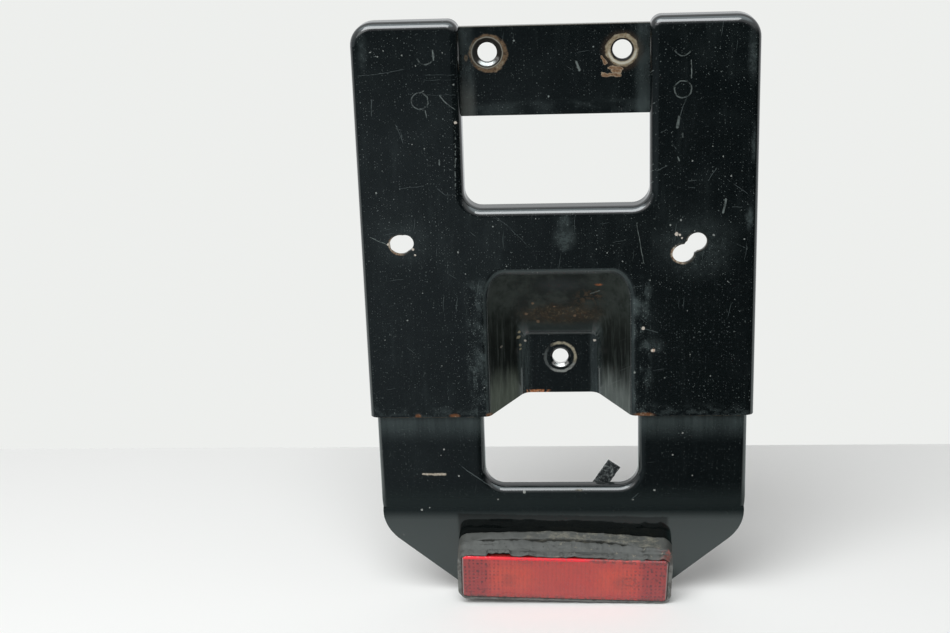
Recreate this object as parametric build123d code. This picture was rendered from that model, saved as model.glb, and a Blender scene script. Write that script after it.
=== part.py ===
from build123d import *
import os
from math import cos, hypot, radians, sin, sqrt, tan

# Motorcycle number plate bracket with a reflector. Millimetres, +Z up, the plate faces -Y.
# The origin is midway between the two bolt holes of the cross strap, on the strap's rear (mounting) face.

# Sheet and overall sizes
sheet = 1.6
plate_width = 180.0
plate_top = 15.7
plate_bottom = -169.7
bend_radius = 3.75
inner_bend_chamfer = 1.26
flange_depth = 10.0
outer_corner_radius = 10.3
arm_inner_corner_radius = 5.3

# How far the cutting solids run past the metal
spare = 1.0

# Upper window, open at the top between the two arms
window_width = 83.7
window_bottom = -69.1
window_corner_radius = 8.0

# Cross strap behind the arms
strap_thickness = 2.6
strap_depth = 11.0
strap_top = 11.8
strap_bottom = -28.3
strap_tab_overlap = 24.0
strap_slope_start = 3.6
strap_slope_angle = 60.0
strap_bend_radius = 2.5
strap_end_radius = 2.0
strap_hole_inset = 11.85
strap_hole_radius = 4.35
left_hole_entry = 1.9
right_hole_entry = 0.9

# Drawn pocket with the lower bolt hole
pocket_width = 67.6
pocket_top = -97.5
pocket_depth = 22.0
pocket_corner_radius = 17.0
pocket_floor_corner_radius = 6.0
pocket_floor_width = 34.4
pocket_floor_top = -136.6
pocket_rim_radius = 4.0
pocket_floor_radius = 6.0
pocket_trim_rise = 4.4
pocket_hole_height = -147.9
pocket_hole_radius = 3.85
pocket_hole_entry = 1.2
pocket_collar_wall = 1.3
pocket_collar_depth = 3.3

# Worn number plate holes as ovals: inset from the plate's side, centre height, half width, half height, turn
left_worn_hole = [(18.4, -84.9, 4.9, 4.5, 0.0), (20.6, -84.3, 3.9, 3.9, 0.0), (16.1, -86.0, 2.5, 2.3, 20.0)]
right_worn_hole = [(27.1, -85.6, 4.5, 4.2, 35.0), (29.6, -87.8, 3.4, 3.2, 0.0), (33.2, -91.0, 4.9, 4.3, 20.0)]

# Lower plate, nested behind the bottom of the upper one
lower_width = 174.4
lower_overlap = 18.0
lower_flange_depth = 6.4
lower_flange_full = -203.0
lower_flange_end = -217.5
opening_width = 72.9
opening_bottom = -206.9
opening_corner_radius = 9.5
panel_bend_height = -221.1
panel_bend_radius = 22.0
panel_angle = 15.0
panel_length = 43.6
panel_chamfer_start = 8.4
panel_shoulder_radius = 23.0
panel_corner_radius = 3.0

# Reflector, measured in its own plane on the panel: x across, y up the panel, z outwards
reflector_across = 0.6
reflector_down = 29.75
reflector_tilt = -2.0
surround_width = 103.6
surround_height = 28.5
surround_top_draft = 3.5
surround_corner_radius = 5.0
surround_chamfer_width = 3.0
surround_chamfer_height = 3.9
surround_lower_radius = 2.0
reflector_depth = 13.5
pad_thickness = 4.3
lens_width = 99.2
lens_height = 25.9
lens_rise = 0.5
lens_thickness = 2.8
lens_proud = 0.4
lens_corner_radius = 1.8
lens_edge_chamfer = 0.6
lens_fit = 0.2
base_wall = 1.8
base_floor = 2.0
base_inset = 0.4
base_inner_radius = 1.0
base_boss_radius = 7.0
base_boss_height = 2.4

# Reflector fasteners, M5
stud_spacing = 60.0
stud_radius = 2.5
stud_head_width = 8.0
stud_head_thickness = 2.2
stud_fit = 0.1
stud_end_chamfer = 0.6
panel_hole_radius = 3.8
flat_washer_radius = 6.5
flat_washer_thickness = 1.0
spring_washer_radius = 4.6
spring_washer_thickness = 1.3
spring_washer_gap = 1.2
spring_washer_turn = 20.0
nut_width = 8.0
nut_thickness = 4.0
nut_chamfer = 0.5
stud_past_nut = 2.6

# Wire clip welded behind the lower crossbar
clip_width = 7.0
clip_thickness = 0.8
clip_foot_x = 13.8
clip_foot_z = -215.0
clip_lean = 55.0
clip_foot_front = 3.4
clip_foot_back = 1.4
clip_step_run = 1.0
clip_flange_gap = 1.0
clip_reach = 20.0
clip_curl = 1.5
clip_bend_radius = 0.9

# Levels across the bracket, worked out from the sizes above
plate_front = -(strap_depth + strap_thickness)
plate_back = plate_front + sheet
lower_front = plate_back
lower_back = lower_front + sheet
pocket_floor = plate_front + pocket_depth
trim_margin = 14.0
strap_hole_x = window_width / 2 - strap_hole_inset


def plane_at(depth_y):
    """The XZ plane at one level in Y, looking at the plate from its front."""
    return Plane(origin=(0, depth_y, 0), x_dir=(1, 0, 0), z_dir=(0, -1, 0))


def slab(outline, from_y, to_y):
    """An XZ outline pushed back along Y between two levels."""
    return extrude(plane_at(from_y) * outline, amount=-(to_y - from_y))


def round_bar(x, z, radius, from_y, to_y):
    """A cylinder along Y between two levels."""
    return extrude(plane_at(from_y) * Pos(x, z) * Circle(radius), amount=-(to_y - from_y))


def edges_on_level(shape, level_y):
    """The edges that lie wholly in one XZ plane."""
    return shape.edges().filter_by_position(Axis.Y, level_y - 0.01, level_y + 0.01)


def pressed_pan(outline, front_y, depth):
    """A sheet pressed over a tool: a flat face with its whole outline turned back in a rounded flange."""
    outside = slab(outline, front_y, front_y + depth)
    outside = fillet(edges_on_level(outside, front_y), bend_radius)
    inside_outline = offset(outline, amount=-sheet)
    inside = slab(inside_outline, front_y + sheet, front_y + depth + sheet)
    inside = chamfer(edges_on_level(inside, front_y + sheet), inner_bend_chamfer)
    return outside - inside


def hole_edges(shape, x, z, radius, level_y):
    """The round edges of one hole at one level."""
    found = edges_on_level(shape, level_y).filter_by(GeomType.CIRCLE)
    same_centre = found.filter_by(lambda e: hypot(e.arc_center.X - x, e.arc_center.Z - z) < 0.1)
    return same_centre.filter_by(lambda e: abs(e.radius - radius) < 0.05)


def upper_outline():
    """Two arms joined by a crossbar, run past the bottom edge that is trimmed later."""
    half = plate_width / 2
    gap = window_width / 2
    low = plate_bottom - trim_margin
    corners = [
        (-half, low),
        (-half, plate_top),
        (-gap, plate_top),
        (-gap, window_bottom),
        (gap, window_bottom),
        (gap, plate_top),
        (half, plate_top),
        (half, low),
    ]
    inner, outer, window = arm_inner_corner_radius, outer_corner_radius, window_corner_radius
    radii = [0, outer, inner, window, window, inner, outer, 0]
    return make_face(FilletPolyline(*corners, radius=radii, close=True))


def wall_shift(run, wall):
    """How far a sloping pocket wall moves in the plate's plane when the pocket's form grows by the wall."""
    return wall * (hypot(run, pocket_depth) - run) / pocket_depth


def outside_corner(start, end, normals, start_radius, end_radius):
    """What a cone rolled into the corner of two walls leaves outside it, from one radius to the other."""
    halved = (normals[0] + normals[1]) / 2
    to_centre = -halved / halved.length**2
    apex = start + (end - start) * (start_radius / (start_radius - end_radius))
    centre = start + to_centre * start_radius
    touches = [centre + normal * start_radius for normal in normals]
    triangle = [start - to_centre * sheet] + touches
    axis = apex - centre
    tip_share = end_radius / start_radius / 2
    sections = []
    for share in (2, tip_share):
        points = [apex + (point - apex) * share for point in triangle]
        sections.append(make_face(Polyline(*points, close=True)))
    sine = start_radius / axis.length
    widest = axis.length * sine / sqrt(1 - sine**2)
    place = Plane(origin=apex - axis * 3, z_dir=axis.normalized())
    cone = Cone(3 * widest, 0, 3 * axis.length, align=(Align.CENTER, Align.CENTER, Align.MIN))
    return loft(sections, ruled=True) - place * cone


def pocket_form(wall):
    """The drawn pocket as a solid, grown behind by the wall and run past the bottom edge of the plate."""
    low = plate_bottom - 2 * trim_margin
    mouth_y = plate_front + wall
    floor_y = mouth_y + pocket_depth
    side_run = (pocket_width - pocket_floor_width) / 2
    side_shift = wall_shift(side_run, wall)
    mouth_half = pocket_width / 2 + side_shift
    floor_half = pocket_floor_width / 2 + side_shift
    across = [(-mouth_half, mouth_y), (mouth_half, mouth_y), (floor_half, floor_y), (-floor_half, floor_y)]
    top_shift = wall_shift(pocket_top - pocket_floor_top, wall)
    mouth_top = pocket_top + top_shift
    floor_top = pocket_floor_top + top_shift
    upright = [(mouth_y, low), (mouth_y, mouth_top), (floor_y, floor_top), (floor_y, low)]
    form = Pos(0, 0, low) * extrude(make_face(Polyline(*across, close=True)), amount=mouth_top - low)
    form &= extrude(make_face(Plane.YZ * Polyline(*upright, close=True)), amount=mouth_half, both=True)
    for side in (-1, 1):
        start = Vector(side * mouth_half, mouth_y, mouth_top)
        end = Vector(side * floor_half, floor_y, floor_top)
        normals = [Vector(side * pocket_depth, side_run, 0), Vector(0, mouth_top - floor_top, pocket_depth)]
        normals = [normal.normalized() for normal in normals]
        radii = pocket_corner_radius + wall, pocket_floor_corner_radius + wall
        form -= outside_corner(start, end, normals, *radii)
    floor_edges = edges_on_level(form, floor_y).filter_by(lambda e: e.center().Z > low + spare)
    return fillet(floor_edges, pocket_floor_radius + wall)


def mouth_edges(plate, level_y):
    """The edges round the pocket at one face of the plate, without the trimmed bottom edge."""
    reach = 4 * sheet
    half = pocket_width / 2 + reach
    low = plate_bottom + spare
    high = pocket_top + reach
    found = edges_on_level(plate, level_y)
    return found.filter_by(lambda e: abs(e.center().X) < half and low < e.center().Z < high)


def worn_hole(side, lobes):
    """A bolt hole beaten out of round: overlapping ovals pushed through the plate."""
    hole = Part()
    for inset, z, half_width, half_height, turn in lobes:
        x = side * (plate_width / 2 - inset)
        oval = Pos(x, z) * Rot(0, 0, turn) * Ellipse(half_width, half_height)
        hole += slab(oval, plate_front - spare, plate_back + spare)
    return hole


def make_upper_plate():
    pan = pressed_pan(upper_outline(), plate_front, flange_depth)
    plate = pan + pocket_form(sheet) - pocket_form(0)

    # The bottom edge is cut off square
    low = plate_bottom - 3 * trim_margin
    far = pocket_floor + 2 * sheet
    below = Pos(0, (low + plate_bottom) / 2) * Rectangle(plate_width + 2 * spare, plate_bottom - low)
    plate -= slab(below, plate_front - spare, far)

    # The pocket's mouth is rounded over, and its root behind the plate follows it
    plate = fillet(mouth_edges(plate, plate_front), pocket_rim_radius)
    plate = fillet(mouth_edges(plate, plate_back), pocket_rim_radius - sheet)

    # The collar that the lower bolt hole's burr makes behind the pocket floor
    collar_end = pocket_floor + pocket_collar_depth
    collar_radius = pocket_hole_radius + pocket_collar_wall
    plate += round_bar(0, pocket_hole_height, collar_radius, pocket_floor, collar_end)
    plate -= round_bar(0, pocket_hole_height, pocket_hole_radius, pocket_floor - spare, collar_end + spare)
    entry = hole_edges(plate, 0, pocket_hole_height, pocket_hole_radius, pocket_floor)
    plate = chamfer(entry, pocket_hole_entry)

    plate -= worn_hole(-1, left_worn_hole)
    plate -= worn_hole(1, right_worn_hole)

    # The trimmed edge climbs where the pocket drew metal in
    raised = plate_bottom + pocket_trim_rise
    climb = [(plate_back, low), (plate_back, plate_bottom), (far, raised), (far, low)]
    wedge = make_face(Plane.YZ * Polyline(*climb, close=True))
    return plate - extrude(wedge, amount=pocket_width / 2 + sheet, both=True)


def make_cross_strap():
    """A flat strap whose ends step forward, past the flanges, to the back of the arms' faces."""
    slope = radians(strap_slope_angle)
    end_x = window_width / 2 + strap_tab_overlap
    step = strap_depth - sheet
    run = step / tan(slope)
    step_in_x = window_width / 2 + strap_slope_start
    step_out_x = step_in_x + run
    tab_y = plate_back
    middle_y = plate_front + strap_depth
    shift = strap_thickness * tan(slope / 2)
    front = [(end_x, tab_y), (step_out_x, tab_y), (step_in_x, middle_y)]
    front += [(-x, y) for x, y in reversed(front)]
    rear = [(end_x, tab_y + strap_thickness), (step_out_x + shift, tab_y + strap_thickness)]
    rear += [(step_in_x + shift, middle_y + strap_thickness)]
    rear += [(-x, y) for x, y in reversed(rear)]
    tight = strap_bend_radius
    wide = strap_bend_radius + strap_thickness
    radii = [0, wide, tight, tight, wide, 0] + [0, tight, wide, wide, tight, 0]
    section = make_face(FilletPolyline(*(front + list(reversed(rear))), radius=radii, close=True))
    strap = Pos(0, 0, strap_bottom) * extrude(section, amount=strap_top - strap_bottom)
    ends = strap.edges().filter_by(Axis.Y).filter_by(lambda e: abs(e.center().X) > end_x - 0.01)
    strap = fillet(ends, strap_end_radius)
    for x, entry in [(-strap_hole_x, left_hole_entry), (strap_hole_x, right_hole_entry)]:
        strap -= round_bar(x, 0, strap_hole_radius, middle_y - spare, middle_y + strap_thickness + spare)
        strap = chamfer(hole_edges(strap, x, 0, strap_hole_radius, middle_y), entry)
    return strap


def lower_outline():
    """The flat part of the lower plate, run past both of its ends, with the opening cut from the top."""
    half = lower_width / 2
    gap = opening_width / 2
    low = panel_bend_height - trim_margin
    high = plate_bottom + lower_overlap + trim_margin
    corners = [
        (-half, low),
        (-half, high),
        (-gap, high),
        (-gap, opening_bottom),
        (gap, opening_bottom),
        (gap, high),
        (half, high),
        (half, low),
    ]
    radii = [0, 0, 0, opening_corner_radius, opening_corner_radius, 0, 0, 0]
    return make_face(FilletPolyline(*corners, radius=radii, close=True))


def panel_half_width():
    """Half the panel's width: the side bend's reach where the flange has run out to one sheet."""
    inner_radius = bend_radius - sheet
    return lower_width / 2 - bend_radius + sqrt(bend_radius**2 - inner_radius**2)


def panel_silhouette():
    """The lower plate's outline seen from the front, with its bent panel foreshortened."""
    shrink = cos(radians(panel_angle))
    half = panel_half_width()
    shoulder = panel_bend_height - panel_chamfer_start * shrink
    foot = panel_bend_height - panel_length * shrink
    foot_half = half - (panel_length - panel_chamfer_start)
    high = lower_flange_end
    left = [(-half, high), (-half, shoulder), (-foot_half, foot)]
    corners = left + [(-x, z) for x, z in reversed(left)]
    radii = [0, panel_shoulder_radius, panel_corner_radius, panel_corner_radius, panel_shoulder_radius, 0]
    return make_face(FilletPolyline(*corners, radius=radii, close=True))


def bent_sheet():
    """The sheet's section in YZ: straight down, then back along the panel."""
    slope = radians(panel_angle)
    reach = panel_length + trim_margin
    shift = sheet * tan(slope / 2)
    foot_y = reach * sin(slope)
    foot_z = panel_bend_height - reach * cos(slope)
    section = [
        (lower_front, lower_flange_end + spare),
        (lower_front, panel_bend_height),
        (lower_front + foot_y, foot_z),
        (lower_front + foot_y + sheet * cos(slope), foot_z + sheet * sin(slope)),
        (lower_back, panel_bend_height + shift),
        (lower_back, lower_flange_end + spare),
    ]
    radii = [0, panel_bend_radius, 0, 0, panel_bend_radius - sheet, 0]
    face = make_face(Plane.YZ * FilletPolyline(*section, radius=radii, close=True))
    return extrude(face, amount=lower_width / 2 + spare, both=True)


def flange_run_out():
    """What is cut off the side flanges where they run out towards the bent panel."""
    back = lower_front + lower_flange_depth
    low = panel_bend_height - trim_margin
    slope = [(back, lower_flange_full), (lower_back, lower_flange_end), (lower_back, low)]
    beyond = [(back + spare, low), (back + spare, lower_flange_full)]
    profile = make_face(Plane.YZ * Polyline(*(slope + beyond), close=True))
    cutter = extrude(profile, amount=bend_radius + spare, both=True)
    return [Pos(side * lower_width / 2, 0, 0) * cutter for side in (-1, 1)]


def panel_plane():
    """The bent panel's front face: x across, y up the panel, z outwards."""
    slope = radians(panel_angle)
    outwards = (0, -cos(slope), -sin(slope))
    return Plane(origin=(0, lower_front, panel_bend_height), x_dir=(1, 0, 0), z_dir=outwards)


def reflector_place():
    """Where the reflector sits on the panel, turned a little as it is on the real bracket."""
    middle = panel_plane().location * Pos(reflector_across, -reflector_down, 0)
    return middle * Rot(0, 0, reflector_tilt)


def make_lower_plate():
    pan = pressed_pan(lower_outline(), lower_front, lower_flange_depth)
    top = plate_bottom + lower_overlap
    height = top - lower_flange_end
    keep = Pos(0, (top + lower_flange_end) / 2) * Rectangle(lower_width + 2 * spare, height)
    flat_part = pan & slab(keep, lower_front - spare, lower_front + lower_flange_depth + spare)
    for cutter in flange_run_out():
        flat_part -= cutter
    panel = bent_sheet() & slab(panel_silhouette(), lower_front - spare, lower_front + panel_length)
    plate = flat_part + panel
    for side in (-1, 1):
        middle = panel_plane().location * Pos(reflector_across + side * stud_spacing / 2, -reflector_down, 0)
        plate -= middle * Cylinder(panel_hole_radius, 6 * sheet)
    return plate


def surround_outline(top):
    """The reflector's outline: rounded at the top, chamfered at the two lower corners."""
    half = surround_width / 2
    low = -surround_height / 2
    shoulder = low + surround_chamfer_height
    inset = half - surround_chamfer_width
    corners = [(-half, shoulder), (-half, top), (half, top), (half, shoulder), (inset, low), (-inset, low)]
    upper, soft = surround_corner_radius, surround_lower_radius
    return make_face(FilletPolyline(*corners, radius=[soft, upper, upper, soft, soft, soft], close=True))


def reflector_block(from_z, to_z):
    """The slice of the reflector's outer form between two levels, with its sloping top."""
    outlines = []
    for level in (from_z, to_z):
        top = surround_height / 2 + surround_top_draft * (1 - level / reflector_depth)
        outlines.append(Pos(0, 0, level) * surround_outline(top))
    return loft(outlines, ruled=True)


def stud_points():
    return [(-stud_spacing / 2, "left"), (stud_spacing / 2, "right")]


def make_reflector_pad():
    pad = reflector_block(0, pad_thickness)
    for x, _ in stud_points():
        pad -= Pos(x, 0, pad_thickness / 2) * Cylinder(stud_radius + stud_fit, 2 * pad_thickness)
    return reflector_place() * pad


def lens_outline(grow, corner):
    """The lens's outline widened all round, with corners of a given radius."""
    return Pos(0, lens_rise) * RectangleRounded(lens_width + 2 * grow, lens_height + 2 * grow, corner)


def make_reflector_surround():
    frame = reflector_block(pad_thickness, reflector_depth)
    opening = lens_outline(lens_fit, lens_corner_radius + lens_fit)
    cavity = extrude(Pos(0, 0, pad_thickness) * opening, amount=reflector_depth)
    return reflector_place() * (frame - cavity)


def lens_seat():
    """The level on which the lens sits: the top of the tray's rim."""
    return reflector_depth + lens_proud - lens_thickness


def make_reflector_lens():
    lens = extrude(Pos(0, 0, lens_seat()) * lens_outline(0, lens_corner_radius), amount=lens_thickness)
    front = lens.faces().sort_by(Axis.Z)[-1]
    return reflector_place() * chamfer(front.edges(), lens_edge_chamfer)


def make_reflector_base():
    outside = lens_outline(-base_inset, lens_corner_radius - base_inset)
    inside = lens_outline(-base_inset - base_wall, base_inner_radius)
    floor_level = pad_thickness + base_floor
    tray = extrude(Pos(0, 0, pad_thickness) * outside, amount=lens_seat() - pad_thickness)
    tray -= extrude(Pos(0, 0, floor_level) * inside, amount=reflector_depth)
    for x, _ in stud_points():
        boss_top = floor_level + base_boss_height
        tray += Pos(x, 0, (floor_level + boss_top) / 2) * Cylinder(base_boss_radius, base_boss_height)
        head = RegularPolygon(stud_head_width / 2 + stud_fit, 6, False)
        tray -= extrude(Pos(x, 0, floor_level) * head, amount=reflector_depth)
        tray -= Pos(x, 0, pad_thickness) * Cylinder(stud_radius + stud_fit, 3 * base_floor)
    return reflector_place() * tray


def stack_levels():
    """Levels of the fasteners behind the panel, each piece bearing on the one before."""
    flat = -sheet - flat_washer_thickness
    spring = flat - spring_washer_thickness
    nut = spring - nut_thickness
    return flat, spring, nut


def make_stud(x):
    floor_level = pad_thickness + base_floor
    end_level = stack_levels()[2] - stud_past_nut
    length = floor_level - end_level
    shank = Pos(x, 0, (floor_level + end_level) / 2) * Cylinder(stud_radius, length)
    shank = chamfer(shank.edges().filter_by(GeomType.CIRCLE).sort_by(Axis.Z)[0], stud_end_chamfer)
    head = RegularPolygon(stud_head_width / 2, 6, False)
    return reflector_place() * (shank + extrude(Pos(x, 0, floor_level) * head, amount=stud_head_thickness))


def make_flat_washer(x):
    level = stack_levels()[0]
    ring = Circle(flat_washer_radius) - Circle(stud_radius + 2 * stud_fit)
    return reflector_place() * extrude(Pos(x, 0, level) * ring, amount=flat_washer_thickness)


def make_spring_washer(x):
    level = stack_levels()[1]
    ring = Circle(spring_washer_radius) - Circle(stud_radius + 2 * stud_fit)
    gap = Rectangle(2 * spring_washer_radius, spring_washer_gap)
    ring -= Pos(spring_washer_radius, 0) * Rot(0, 0, spring_washer_turn) * gap
    return reflector_place() * extrude(Pos(x, 0, level) * ring, amount=spring_washer_thickness)


def make_nut(x):
    level = stack_levels()[2]
    hexagon = extrude(RegularPolygon(nut_width / 2, 6, False), amount=nut_thickness)
    corner_radius = nut_width / 2 / cos(radians(30))
    blank = Pos(0, 0, nut_thickness / 2) * Cylinder(corner_radius, nut_thickness)
    blank = chamfer(blank.edges().filter_by(GeomType.CIRCLE).sort_by(Axis.Z)[0], nut_chamfer)
    bore = Pos(0, 0, nut_thickness / 2) * Cylinder(stud_radius + stud_fit, 2 * nut_thickness)
    nut = (hexagon & blank) - bore
    return reflector_place() * Pos(x, 0, level) * nut


def make_wire_clip():
    """A strip with a foot on the crossbar, a step back past the flange and a leaning tongue."""
    foot_y = lower_back + clip_thickness / 2
    tongue_y = lower_front + lower_flange_depth + clip_flange_gap + clip_thickness / 2
    step_at = clip_foot_front + clip_step_run
    foot = [(-clip_foot_back, foot_y), (clip_foot_front, foot_y)]
    tongue = [(step_at, tongue_y), (clip_reach, tongue_y + clip_curl)]
    line = FilletPolyline(*(foot + tongue), radius=clip_bend_radius)
    profile = trace(line, clip_thickness)
    strip = extrude(profile, amount=clip_width / 2, both=True)
    # The strip is drawn with its run along X and its width along Z, then turned to its lean
    return Pos(clip_foot_x, 0, clip_foot_z) * Rot(0, -clip_lean, 0) * strip


def build():
    nodes = {
        "upper_plate": make_upper_plate(),
        "cross_strap": make_cross_strap(),
        "lower_plate": make_lower_plate(),
        "reflector_pad": make_reflector_pad(),
        "reflector_surround": make_reflector_surround(),
        "reflector_lens": make_reflector_lens(),
        "reflector_base": make_reflector_base(),
        "wire_clip": make_wire_clip(),
    }
    for x, side in stud_points():
        nodes["reflector_stud_" + side] = make_stud(x)
        nodes["flat_washer_" + side] = make_flat_washer(x)
        nodes["spring_washer_" + side] = make_spring_washer(x)
        nodes["reflector_nut_" + side] = make_nut(x)
    return nodes


os.makedirs("parts", exist_ok=True)
for name, shape in build().items():
    export_step(shape, "parts/" + name + ".step")
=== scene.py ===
from math import cos, pi, radians, sin

import bmesh
import bpy
from mathutils import Matrix, Vector, noise


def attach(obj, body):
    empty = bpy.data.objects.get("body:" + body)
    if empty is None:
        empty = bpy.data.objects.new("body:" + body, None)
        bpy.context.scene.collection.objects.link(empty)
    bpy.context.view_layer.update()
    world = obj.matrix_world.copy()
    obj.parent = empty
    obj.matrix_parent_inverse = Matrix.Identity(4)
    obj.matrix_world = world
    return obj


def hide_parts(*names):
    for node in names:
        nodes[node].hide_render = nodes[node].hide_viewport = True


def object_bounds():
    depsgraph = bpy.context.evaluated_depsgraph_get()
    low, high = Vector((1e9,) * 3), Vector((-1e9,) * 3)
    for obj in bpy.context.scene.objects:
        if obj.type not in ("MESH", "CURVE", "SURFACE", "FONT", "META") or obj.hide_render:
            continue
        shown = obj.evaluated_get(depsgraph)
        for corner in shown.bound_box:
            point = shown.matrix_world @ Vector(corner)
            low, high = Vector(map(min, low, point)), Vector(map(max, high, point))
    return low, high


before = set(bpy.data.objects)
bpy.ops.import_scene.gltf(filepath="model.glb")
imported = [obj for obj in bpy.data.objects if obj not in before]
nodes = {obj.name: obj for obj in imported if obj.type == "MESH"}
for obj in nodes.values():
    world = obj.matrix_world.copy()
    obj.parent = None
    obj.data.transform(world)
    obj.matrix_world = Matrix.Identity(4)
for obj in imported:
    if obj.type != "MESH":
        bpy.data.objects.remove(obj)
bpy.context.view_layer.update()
mm = 0.001

# Camera, at the viewing angle of the photograph
camera_eye = Vector((0.0147, -0.7099, 0.1099))
camera_forward = Vector((-0.0725, 0.9472, -0.3125)).normalized()
camera_up = Vector((0.0114, 0.3141, 0.9493))
camera_lens = 60.3

# Floor and light, in metres. What gloss mirrors of the floor dims from the edge over the fade,
# and from left to right as seen from in front of the middle at that distance.
floor_half_width = 3.0
floor_front = -3.0
floor_back = 0.184
mirror_floor_edge = -0.02
mirror_floor_fade = 0.085
mirror_middle = 0.015
mirror_distance = 0.71
white = (0.85, 0.862, 0.845, 1)
room_light = 0.36

# The plates, in millimetres: z of the pocket's rim, bore and cut edge, z of the bend, x of the bolt holes
pocket_half_width = 35.0
pocket_top = -95.0
pocket_hole_height = -147.9
pocket_edge = -164.8
bend_height = -215.0
bolt_offset = 30.0

# The reflector's own plane on the bent panel: u across, v up the panel, w out of it
panel_angle = radians(15)
reflector_tilt = radians(-2)
reflector_middle = Vector((0.6, -4.30, -249.84))
level_across = Vector((1, 0, 0))
panel_up = Vector((0, -sin(panel_angle), cos(panel_angle)))
panel_out = Vector((0, -cos(panel_angle), -sin(panel_angle)))
across = level_across * cos(reflector_tilt) + panel_up * sin(reflector_tilt)
upward = panel_up * cos(reflector_tilt) - level_across * sin(reflector_tilt)
pad_level = 4.3
surround_level = 13.5
surround_top = 14.25
stud_offset = 30.0


class Wire:
    """One output of a node. Sums and products of wires add the nodes that they need."""

    def __init__(self, network, socket):
        self.network = network
        self.socket = socket

    def math(self, operation, first, second=0.0):
        return self.network.node("ShaderNodeMath", {"operation": operation}, {0: first, 1: second})

    def __add__(self, other):
        return self.math("ADD", self, other)

    def __radd__(self, other):
        return self.math("ADD", other, self)

    def __sub__(self, other):
        return self.math("SUBTRACT", self, other)

    def __rsub__(self, other):
        return self.math("SUBTRACT", other, self)

    def __mul__(self, other):
        return self.math("MULTIPLY", self, other)

    def __rmul__(self, other):
        return self.math("MULTIPLY", other, self)

    def __truediv__(self, other):
        return self.math("DIVIDE", self, other)

    def __abs__(self):
        return self.math("ABSOLUTE", self)

    def above(self, other):
        return self.math("GREATER_THAN", self, other)

    def larger(self, other):
        return self.math("MAXIMUM", self, other)

    def smaller(self, other):
        return self.math("MINIMUM", self, other)


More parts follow.
